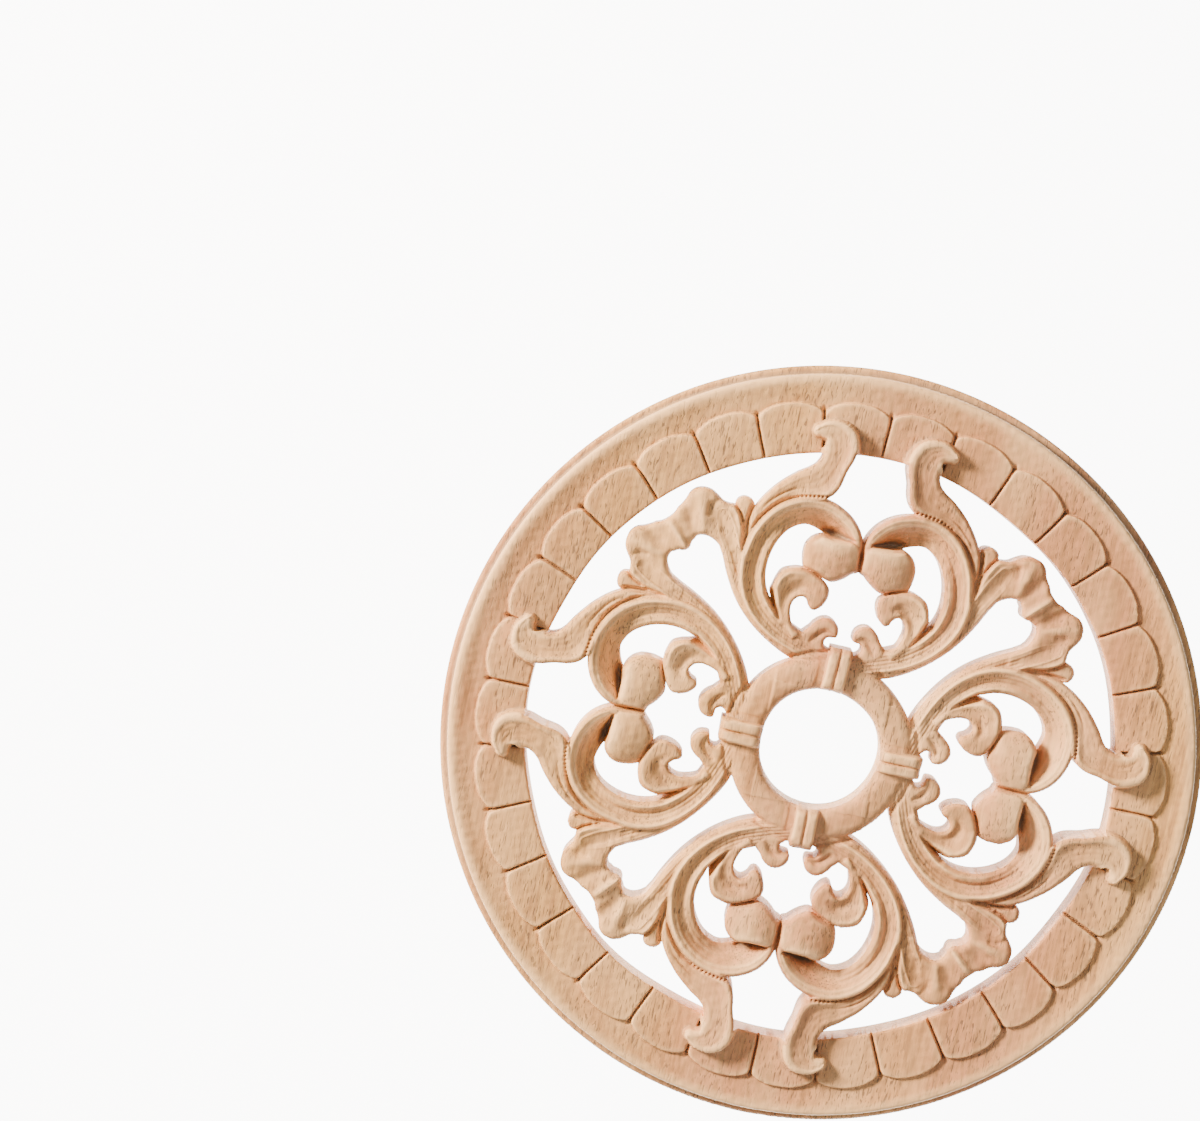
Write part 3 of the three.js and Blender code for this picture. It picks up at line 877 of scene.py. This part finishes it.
@dataclass
class ReliefMesh:
    """Turns the relief on a grid into one closed mesh with a clean outline, upright walls and a flat back.

    Attributes:
        grid: The relief on its grid.
        wall_rows: Heights of the rows of points down the walls, as shares of the edge's height.
        least_share: Least share of a grid step between a grid point and the outline.
        edge_drop: How far the outline lies below the face beside it in millimetres.
    """

    grid: PlanGrid
    wall_rows: tuple[float, ...] = (0.96, 0.5, 0.0)
    least_share: float = 0.02
    edge_drop: float = 0.15

    def arrays(self) -> tuple[Array, Array]:
        """Vertices and triangles of the closed mesh.

        Cells of the grid that lie inside the outline are kept whole, and cells that it crosses are cut
        where the inset is nought, as marching squares does, for all cells of one kind at a time. Walls
        hang from the outline, and the back repeats the face at height nought, turned over.

        Returns:
            Vertices of across, up and height, in plan units and millimetres, and triangles.
        """
        inset, height = self.grid.inset, self.grid.height
        inside = inset > 0
        plan, level, ids = self._points(inside, inset, height)
        faces, outline = self._cells(inside, ids)
        return self._close(plan, level, faces, outline)

    def _points(self, inside: Array, inset: Array, height: Array) -> tuple[Array, Array, dict[str, Array]]:
        """Numbers the grid points inside the outline and the points where it crosses the grid's lines.

        Args:
            inside: Whether each grid point is inside.
            inset: Insets in millimetres.
            height: Heights in millimetres.

        Returns:
            Plan places of the points, their heights, and their numbers on the grid: at its corners, and on
            its lines across and up.
        """
        grid = self.grid
        ids = {"corner": np.full(inside.shape, -1)}
        places = [np.stack([grid.x[inside], grid.z[inside]], 1)]
        levels = [height[inside]]
        ids["corner"][inside] = np.arange(inside.sum())
        total = int(inside.sum())
        for name, axis in (("across", 1), ("up", 0)):
            first = tuple(slice(None, -1) if a == axis else slice(None) for a in (0, 1))
            last = tuple(slice(1, None) if a == axis else slice(None) for a in (0, 1))
            crossed = inside[first] != inside[last]
            t = inset[first][crossed] / (inset[first][crossed] - inset[last][crossed])
            t = np.clip(t, self.least_share, 1 - self.least_share)
            x = grid.x[first][crossed] * (1 - t) + grid.x[last][crossed] * t
            z = grid.z[first][crossed] * (1 - t) + grid.z[last][crossed] * t
            kept = np.where(inside[first][crossed], height[first][crossed], height[last][crossed])
            number = np.full(crossed.shape, -1)
            number[crossed] = total + np.arange(crossed.sum())
            total += int(crossed.sum())
            ids[name] = number
            places.append(np.stack([x, z], 1))
            levels.append(kept - self.edge_drop)
        return np.concatenate(places), np.concatenate(levels), ids

    @staticmethod
    def _cells(inside: Array, ids: dict[str, Array]) -> tuple[Array, Array]:
        """Fills every kind of cell with triangles.

        Args:
            inside: Whether each grid point is inside.
            ids: Numbers of the points at the grid's corners and on its lines.

        Returns:
            Triangles, and the outline's steps with the wood on their left.
        """
        a, b, c, d = inside[:-1, :-1], inside[:-1, 1:], inside[1:, 1:], inside[1:, :-1]
        code = a + 2 * b + 4 * c + 8 * d
        corner, across, up = ids["corner"], ids["across"], ids["up"]
        token = {
            "a": corner[:-1, :-1], "b": corner[:-1, 1:], "c": corner[1:, 1:], "d": corner[1:, :-1],
            "ab": across[:-1, :], "bc": up[:, 1:], "cd": across[1:, :], "da": up[:, :-1],
        }
        walk = ("a", "ab", "b", "bc", "c", "cd", "d", "da")
        apart = {5: (("a", "ab", "da"), ("c", "cd", "bc")), 10: (("b", "bc", "ab"), ("d", "da", "cd"))}
        faces, outline = [], []
        for kind in range(1, 16):
            here = code == kind
            wood = {name: bool(kind >> k & 1) for k, name in enumerate("abcd")}
            ring = tuple(n for n in walk if (wood[n] if len(n) == 1 else wood[n[0]] != wood[n[1]]))
            for polygon in apart.get(kind, (ring,)):
                columns = [token[name][here] for name in polygon]
                for k in range(1, len(polygon) - 1):
                    faces.append(np.stack([columns[0], columns[k], columns[k + 1]], 1))
                for k, name in enumerate(polygon):
                    following = polygon[(k + 1) % len(polygon)]
                    if len(name) == 2 and len(following) == 2:
                        outline.append(np.stack([columns[k], columns[(k + 1) % len(polygon)]], 1))
        return np.concatenate(faces), np.concatenate(outline)

    def _close(self, plan: Array, level: Array, faces: Array, outline: Array) -> tuple[Array, Array]:
        """Hangs walls from the outline and closes the body with a flat back.

        Args:
            plan: Plan places of the face's points.
            level: Their heights in millimetres.
            faces: The face's triangles.
            outline: The outline's steps, with the wood on their left.

        Returns:
            Vertices and triangles of the closed body.
        """
        edge, ring = np.unique(outline, return_inverse=True)
        ring = ring.reshape(outline.shape)
        face_count, edge_count = len(plan), len(edge)
        vertices = [np.column_stack([plan, level])]
        triangles = [faces]
        above = edge
        for k, share in enumerate(self.wall_rows):
            below = face_count + k * edge_count + np.arange(edge_count)
            if share > 0:
                vertices.append(np.column_stack([plan[edge], level[edge] * share]))
            else:
                back = face_count + k * edge_count + np.arange(face_count)
                below = back[edge]
                vertices.append(np.column_stack([plan, np.zeros(face_count)]))
                triangles.append(back[faces[:, ::-1]])
            p, q = above[ring[:, 0]], above[ring[:, 1]]
            p_low, q_low = below[ring[:, 0]], below[ring[:, 1]]
            triangles += [np.stack([q, p, p_low], 1), np.stack([q, p_low, q_low], 1)]
            above = below
        return np.concatenate(vertices), np.concatenate(triangles)


@dataclass(frozen=True)
class Pattern:
    """A noise in the wood and how far it covers what is there.

    Attributes:
        scale: Steps of the noise in a metre along X, Y and Z.
        span: Values of the noise where the pattern starts and where it is full, and its share there.
        detail: How many finer noises are laid over the first.
        rough: How strong each finer noise is against the one before.
    """

    scale: Triple
    span: Triple
    detail: float = 1.0
    rough: float = 0.5


class Shading:
    """A material whose nodes are added and linked one by one."""

    def __init__(self, name: str, values: dict[str, object]) -> None:
        """Makes the material.

        Args:
            name: Its name.
            values: Values of its shader, by input.
        """
        self.material = bpy.data.materials.new(name)
        self.material.use_nodes = True
        self.tree = self.material.node_tree
        self.shader = self.tree.nodes["Principled BSDF"]
        self.fill(self.shader, values)

    def fill(self, node: bpy.types.Node, inputs: dict[str | int, object]) -> None:
        """Fills inputs of a node.

        Args:
            node: The node.
            inputs: A value for an input, or an output to link it to, by the input's name or number.
        """
        for key, value in inputs.items():
            if isinstance(value, Socket):
                self.tree.links.new(value, node.inputs[key])
            else:
                node.inputs[key].default_value = value

    def node(self, kind: str, inputs: dict[str | int, object], **settings: object) -> bpy.types.Node:
        """Adds a node.

        Args:
            kind: Its type.
            inputs: What its inputs are filled with.
            **settings: Its properties.

        Returns:
            The node.
        """
        node = self.tree.nodes.new(kind)
        for name, value in settings.items():
            setattr(node, name, value)
        self.fill(node, inputs)
        return node

    def noise(self, coords: Socket, pattern: Pattern) -> Socket:
        """The noise of a pattern on stretched coordinates.

        Args:
            coords: The coordinates.
            pattern: The pattern.

        Returns:
            The noise, from 0 to 1.
        """
        place = self.node("ShaderNodeMapping", {"Vector": coords, "Scale": pattern.scale})
        inputs = {"Scale": 1.0, "Detail": pattern.detail, "Roughness": pattern.rough}
        return self.node("ShaderNodeTexNoise", {"Vector": place.outputs["Vector"], **inputs}).outputs["Fac"]

    def ramp(self, source: Socket, low: float, high: float, share: float) -> Socket:
        """A value spread from 0 at low to a share at high, and level beyond them."""
        inputs = {"Value": source, "From Min": low, "From Max": high, "To Max": share}
        return self.node("ShaderNodeMapRange", inputs).outputs["Result"]

    def cover(self, coords: Socket, pattern: Pattern) -> Socket:
        """How far a pattern covers what is there."""
        return self.ramp(self.noise(coords, pattern), *pattern.span)

    def product(self, first: Socket, second: Socket) -> Socket:
        """A product of two values."""
        return self.node("ShaderNodeMath", {0: first, 1: second}, operation="MULTIPLY").outputs[0]

    def mix(self, share: Socket, first: object, second: Triple) -> Socket:
        """Lays a tint over a colour.

        Args:
            share: How far the tint covers the colour.
            first: The colour: plain, or an output.
            second: The tint.

        Returns:
            The mixed colour.
        """
        under = (*first, 1.0) if isinstance(first, tuple) else first
        inputs = {"Factor": share, 6: under, 7: (*second, 1.0)}
        return self.node("ShaderNodeMix", inputs, data_type="RGBA").outputs[2]


@dataclass(frozen=True)
class BareWood:
    """Bare, sanded hardwood: straight grain along Z, short dark pores and slow changes of tint.

    Attributes:
        name: Name of the material.
        light: Tint of pale clouds in the wood, and of the painted highlight on raised edges.
        mid: Tint of the grain's dark lines.
        pink: Tint of one kind of strip.
        straw: Tint of the other kind of strip.
        pore: Tint of the pores.
        hollow: Tint of the painted shade low down in the carving.
        roughness: Roughness all over.
        specular: Strength of reflections all over.
        strips: Wide strips along the grain.
        grain: Fine lines along the grain.
        clouds: Pale clouds.
        pores: Pores.
        pore_groups: Where pores lie close together.
        pore_share: How dark a pore is.
        painted_shade_span: Depths in millimetres where painted shade starts and is full, and its share there.
        painted_highlight_span: The same for painted highlight on raised edges, whose depths are below nought.
        grain_bump: Strength and height in metres of the grain's ridges.
        pore_bump: Strength and depth in metres of the pores.
    """

    name: str = "bare_hardwood"
    light: Triple = (1.0, 0.64, 0.315)
    mid: Triple = (0.40, 0.20, 0.085)
    pink: Triple = (0.65, 0.30, 0.14)
    straw: Triple = (0.77, 0.425, 0.155)
    pore: Triple = (0.17, 0.105, 0.065)
    hollow: Triple = (0.29, 0.20, 0.135)
    roughness: float = 0.62
    specular: float = 0.3
    strips: Pattern = Pattern((17, 17, 1.2), (0.38, 0.62, 1.0))
    grain: Pattern = Pattern((520, 520, 16), (0.42, 0.62, 0.78), 5.0, 0.65)
    clouds: Pattern = Pattern((34, 34, 14), (0.42, 0.7, 0.5), 3.0)
    pores: Pattern = Pattern((1500, 1500, 230), (0.58, 0.66, 1.0))
    pore_groups: Pattern = Pattern((55, 55, 18), (0.38, 0.54, 1.0), 2.0)
    pore_share: float = 0.75
    painted_shade_span: Triple = (0.25, 2.4, 0.8)
    painted_highlight_span: Triple = (-0.1, -0.8, 0.75)
    grain_bump: tuple[float, float] = (0.5, 0.0003)
    pore_bump: tuple[float, float] = (0.35, 0.0004)

    def material(self) -> bpy.types.Material:
        """Builds the node material.

        Returns:
            The material, reading object coordinates and hollow depths for painted shade and highlight.
        """
        wood = Shading(self.name, {"Roughness": self.roughness, "Specular IOR Level": self.specular})
        coords = wood.node("ShaderNodeTexCoord", {}).outputs["Object"]
        grain = wood.noise(coords, self.grain)
        pores = wood.product(wood.cover(coords, self.pores), wood.cover(coords, self.pore_groups))
        depth = wood.node("ShaderNodeAttribute", {}, attribute_name=HOLLOW).outputs["Fac"]
        body = wood.mix(wood.cover(coords, self.strips), self.straw, self.pink)
        body = wood.mix(wood.ramp(grain, *self.grain.span), body, self.mid)
        body = wood.mix(wood.cover(coords, self.clouds), body, self.light)
        body = wood.mix(wood.ramp(pores, 0.0, 1.0, self.pore_share), body, self.pore)
        # Painted shade: where the wood lies below the wood round it, it turns towards the hollow tint.
        body = wood.mix(wood.ramp(depth, *self.painted_shade_span), body, self.hollow)
        # Painted highlight: on raised edges, where that depth is below nought, it turns towards the light
        # tint.
        body = wood.mix(wood.ramp(depth, *self.painted_highlight_span), body, self.light)
        strength, distance = self.grain_bump
        ridges = wood.node("ShaderNodeBump", {"Strength": strength, "Distance": distance, "Height": grain})
        strength, distance = self.pore_bump
        pits = wood.node("ShaderNodeBump", {"Strength": strength, "Distance": distance, "Height": pores,
                                            "Normal": ridges.outputs["Normal"]}, invert=True)
        wood.fill(wood.shader, {"Base Color": body, "Normal": pits.outputs["Normal"]})
        return wood.material


@dataclass
class Rosette:
    """The carved board itself.

    Attributes:
        wood: Its finish.
        triangles: How many triangles it is thinned to.
        sharp_angle: Angle in radians from which the corner between two faces is sharp.
        face_depth: How far below the relief a point still counts as on the face, in millimetres.
        inward: Share of the way to a triangle's middle at which its corners read the slope.
        front: Least share of a triangle's direction that points to the front where it is shaded by slope.
    """

    wood: BareWood = BareWood()
    triangles: int = 190_000
    sharp_angle: float = math.radians(38)
    face_depth: float = 1.0
    inward: float = 0.3
    front: float = 0.4

    def build(self) -> bpy.types.Object:
        """Builds, thins, dresses and places the carved board.

        Returns:
            The finished object.
        """
        low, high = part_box(NODE)
        outer_radius = 0.5 * (high.x - low.x)
        unit = outer_radius / PLAN_RADIUS / MM
        grid = PlanGrid(Relief(unit))
        points, faces = ReliefMesh(grid).arrays()
        LOG.info("relief: %d points, %d triangles", len(points), len(faces))
        full = self._mesh("relief_full", self._to_world(points, unit), faces)
        thinned = self._thin(full, len(faces))
        self._dress(thinned, grid, unit)
        piece = bpy.data.objects.new(PIECE, thinned)
        bpy.context.scene.collection.objects.link(piece)
        return piece

    @staticmethod
    def _to_world(points: Array, unit: float) -> Array:
        """Plan points to metres: across to X, up to Z and height to -Y."""
        return np.column_stack([points[:, 0] * unit, -points[:, 2], points[:, 1] * unit]) * MM

    @staticmethod
    def _mesh(name: str, vertices: Array, faces: Array) -> bpy.types.Mesh:
        """Makes a mesh from arrays.

        Args:
            name: Its name.
            vertices: Places of its vertices in metres.
            faces: Its triangles.

        Returns:
            The mesh.
        """
        mesh = bpy.data.meshes.new(name)
        mesh.vertices.add(len(vertices))
        mesh.vertices.foreach_set("co", vertices.astype(np.float32).ravel())
        mesh.loops.add(faces.size)
        mesh.loops.foreach_set("vertex_index", faces.astype(np.int32).ravel())
        mesh.polygons.add(len(faces))
        mesh.polygons.foreach_set("loop_start", np.arange(0, faces.size, 3, dtype=np.int32))
        mesh.update(calc_edges=True)
        mesh.validate()
        return mesh

    def _thin(self, mesh: bpy.types.Mesh, count: int) -> bpy.types.Mesh:
        """Merges triangles where the surface is nearly flat.

        Args:
            mesh: The full mesh, which is removed.
            count: How many triangles it has.

        Returns:
            The mesh thinned to the wanted number of triangles.
        """
        whole = bpy.data.objects.new("relief_full", mesh)
        bpy.context.scene.collection.objects.link(whole)
        modifier = whole.modifiers.new("thin", "DECIMATE")
        modifier.ratio = min(1.0, self.triangles / count)
        modifier.use_collapse_triangulate = True
        depsgraph = bpy.context.evaluated_depsgraph_get()
        thinned = bpy.data.meshes.new_from_object(whole.evaluated_get(depsgraph))
        bpy.data.objects.remove(whole)
        bpy.data.meshes.remove(mesh)
        thinned.name = PIECE
        return thinned

    def _dress(self, mesh: bpy.types.Mesh, grid: PlanGrid, unit: float) -> None:
        """Gives the mesh its smooth shading, its hollows as an attribute, and the wood.

        Args:
            mesh: The thinned mesh.
            grid: The relief on its grid.
            unit: Millimetres in a plan unit.
        """
        mesh.polygons.foreach_set("use_smooth", np.ones(len(mesh.polygons), bool))
        mesh.set_sharp_from_angle(angle=self.sharp_angle)
        places = np.empty(3 * len(mesh.vertices), np.float32)
        mesh.vertices.foreach_get("co", places)
        places = places.reshape(-1, 3) / MM
        x, z, height = places[:, 0] / unit, places[:, 2] / unit, -places[:, 1]
        # The depth of hollows at every vertex, for the wood's painted shade and painted highlight.
        hollow = grid.read(grid.hollows(), x, z)
        on_face = height > grid.read(grid.height, x, z) - self.face_depth
        hollow = np.where(on_face, hollow, 0).astype(np.float32)
        mesh.attributes.new(HOLLOW, "FLOAT", "POINT").data.foreach_set("value", hollow)
        self._shade(mesh, grid, np.column_stack([x, z]), unit)
        mesh.materials.clear()
        mesh.materials.append(self.wood.material())
        mesh.update()

    def _shade(self, mesh: bpy.types.Mesh, grid: PlanGrid, plan: Array, unit: float) -> None:
        """Turns the shading of the carved face to the slope of the relief itself.

        The grid gives the slope of the wood at every place of the plan. A corner of a triangle that looks
        to the front reads it a little inside the triangle, so that creases stay sharp. Where the slope
        and the triangle disagree, and on the walls and the back, a corner keeps the shading it has.

        Args:
            mesh: The thinned mesh, made of triangles.
            grid: The relief on its grid.
            plan: Plan places of the mesh's vertices.
            unit: Millimetres in a plan unit.
        """
        corners = np.empty(len(mesh.loops), np.int32)
        mesh.loops.foreach_get("vertex_index", corners)
        kept = np.empty(3 * len(mesh.loops), np.float32)
        mesh.corner_normals.foreach_get("vector", kept)
        facing = np.empty(3 * len(mesh.polygons), np.float32)
        mesh.polygons.foreach_get("normal", facing)
        facing = np.repeat(facing.reshape(-1, 3), 3, axis=0)
        places = plan[corners].reshape(-1, 3, 2)
        middle = places.mean(axis=1, keepdims=True)
        places = ((1 - self.inward) * places + self.inward * middle).reshape(-1, 2)
        rise_z, rise_x = np.gradient(grid.height, grid.step * unit)
        slopes = [grid.read(rise, places[:, 0], places[:, 1]) for rise in (rise_x, rise_z)]
        turned = np.column_stack([-slopes[0], -np.ones(len(places)), -slopes[1]])
        turned /= np.linalg.norm(turned, axis=1, keepdims=True)
        agrees = (turned * facing).sum(1) > math.cos(self.sharp_angle)
        agrees &= facing[:, 1] < -self.front
        mesh.normals_split_custom_set(np.where(agrees[:, None], turned, kept.reshape(-1, 3)))


@dataclass(frozen=True)
class Lamp:
    """A square soft light that faces the rosette.

    Attributes:
        name: Its name.
        place: Where it stands, in metres.
        size: Length of its sides in metres.
        power: Its power in watts.
        tint: Its colour.
    """

    name: str
    place: Triple
    size: float
    power: float
    tint: Triple = (1.0, 1.0, 1.0)

    def build(self) -> None:
        """Adds the light to the scene."""
        data = bpy.data.lights.new(self.name, "AREA")
        data.size = self.size
        data.energy = self.power
        data.color = self.tint
        lamp = bpy.data.objects.new(self.name, data)
        lamp.location = self.place
        lamp.rotation_euler = (-Vector(self.place)).to_track_quat("-Z", "Y").to_euler()
        bpy.context.scene.collection.objects.link(lamp)


@dataclass(frozen=True)
class Studio:
    """The plain floor, the soft lights, the pale room and the camera.

    Attributes:
        image: Width and height of the picture in pixels.
        centre_pixel: Where the middle of the carved face falls.
        radius_pixels: Length of the outer radius in the picture.
        azimuth: Degrees by which the camera stands to the right of the face.
        elevation: Degrees by which it stands above the face.
        roll: Degrees by which it is rolled.
        distance_radii: Its distance in outer radii.
        floor_drop: Depth of the floor below the rosette's middle in metres.
        floor_front: How far the floor comes forward in metres.
        wall_distance: How far behind the rosette the backdrop stands in metres.
        wall_half: Half width of the floor and the backdrop, and the backdrop's height, in metres.
        wall_glow: Strength of the backdrop's glow.
        room_tint: Colour of the room's light.
        room_glow: Strength of the room's light.
        lamps: The soft lights.
    """

    image: tuple[int, int] = (1200, 1121)
    centre_pixel: tuple[float, float] = (820.5, 751.0)
    radius_pixels: float = 382.0
    azimuth: float = -4.7
    elevation: float = 7.7
    roll: float = 12.4
    distance_radii: float = 6.5
    floor_drop: float = 2.5
    floor_front: float = 1.5
    wall_distance: float = 1.6
    wall_half: float = 2.2
    wall_glow: float = 9.0
    room_tint: Triple = (1.0, 0.94, 0.86)
    room_glow: float = 0.3
    lamps: tuple[Lamp, ...] = (
        Lamp("key", (-1.5, -0.68, 0.6), 0.4, 136, (1.0, 0.81, 0.61)),
        Lamp("fill", (0.5, -1.6, 0.6), 1.5, 7),
    )

    def camera(self, radius: float, face: float) -> None:
        """Sets up the camera.

        It stands off to the left of and above the carved face. It is turned so that the middle of the face
        falls on its own pixel, without any lens shift, and rolled as the rosette lies in the picture.

        Args:
            radius: Outer radius in metres.
            face: Height of the carved face over the back in metres.
        """
        target = Vector((0, -face, 0))
        azimuth, elevation = math.radians(self.azimuth), math.radians(self.elevation)
        back = Vector((math.sin(azimuth) * math.cos(elevation), -math.cos(azimuth) * math.cos(elevation),
                       math.sin(elevation)))
        focal_pixels = self.radius_pixels * self.distance_radii
        right = Vector((0, 0, 1)).cross(back).normalized()
        upward = back.cross(right)
        straight = Matrix((right, upward, back)).transposed()
        rolled = straight @ Matrix.Rotation(math.radians(self.roll), 3, "Z")
        offset = Vector((self.centre_pixel[0] - self.image[0] / 2, self.image[1] / 2 - self.centre_pixel[1],
                         -focal_pixels)).normalized()
        aim = offset.rotation_difference(Vector((0, 0, -1))).to_matrix()
        data = bpy.data.cameras.new("camera")
        data.sensor_fit = "HORIZONTAL"
        data.lens = data.sensor_width * focal_pixels / self.image[0]
        camera = bpy.data.objects.new("camera", data)
        place = target + back * (self.distance_radii * radius)
        camera.matrix_world = Matrix.Translation(place) @ (rolled @ aim).to_4x4()
        bpy.context.scene.collection.objects.link(camera)
        bpy.context.scene.camera = camera

    @staticmethod
    def sheet(name: str, corners: tuple[Triple, ...], finish: Shading) -> bpy.types.Object:
        """Adds a flat sheet.

        Args:
            name: Its name.
            corners: Its four corners in metres, in order.
            finish: Its finish.

        Returns:
            The sheet.
        """
        mesh = bpy.data.meshes.new(name)
        mesh.from_pydata(corners, [], [(0, 1, 2, 3)])
        mesh.materials.append(finish.material)
        sheet = bpy.data.objects.new(name, mesh)
        bpy.context.scene.collection.objects.link(sheet)
        return sheet

    def floor(self) -> None:
        """Lays a plain pale floor well below the rosette, as far back as the backdrop."""
        half, front, back, level = self.wall_half, -self.floor_front, self.wall_distance, -self.floor_drop
        corners = ((-half, front, level), (half, front, level), (half, back, level), (-half, back, level))
        pale = {"Base Color": (0.86, 0.86, 0.85, 1), "Roughness": 0.9}
        floor = self.sheet("floor", corners, Shading("pale_floor", pale))

    def backdrop(self) -> None:
        """Stands a plain white wall that glows evenly behind the rosette, from the floor up."""
        half, back, level = self.wall_half, self.wall_distance, -self.floor_drop
        corners = ((-half, back, level), (half, back, level), (half, back, half), (-half, back, half))
        glow = {"Base Color": (0.9, 0.9, 0.9, 1), "Emission Color": (1, 1, 1, 1)}
        glow["Emission Strength"] = self.wall_glow
        wall = self.sheet("backdrop", corners, Shading("white_glow", glow))

    def room(self) -> None:
        """Fills the room with even, faintly warm light."""
        world = bpy.data.worlds.new("room")
        world.use_nodes = True
        background = world.node_tree.nodes["Background"]
        background.inputs["Color"].default_value = (*self.room_tint, 1)
        background.inputs["Strength"].default_value = self.room_glow
        bpy.context.scene.world = world

    def build(self, radius: float, face: float) -> None:
        """Builds the whole studio.

        Args:
            radius: Outer radius in metres.
            face: Height of the carved face over the back in metres.
        """
        self.camera(radius, face)
        self.floor()
        self.backdrop()
        for lamp in self.lamps:
            lamp.build()
        self.room()


def main() -> None:
    """Builds the rosette and its studio and hands them over."""
    logging.basicConfig(level=logging.INFO, format="%(name)s: %(message)s")
    low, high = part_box(NODE)
    Studio().build(0.5 * (high.x - low.x), -low.y)
    piece = Rosette().build()
    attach(piece, "root")
    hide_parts(NODE)
    LOG.info("%s: %d triangles", piece.name, len(piece.data.polygons))


if __name__ == "__main__":
    main()
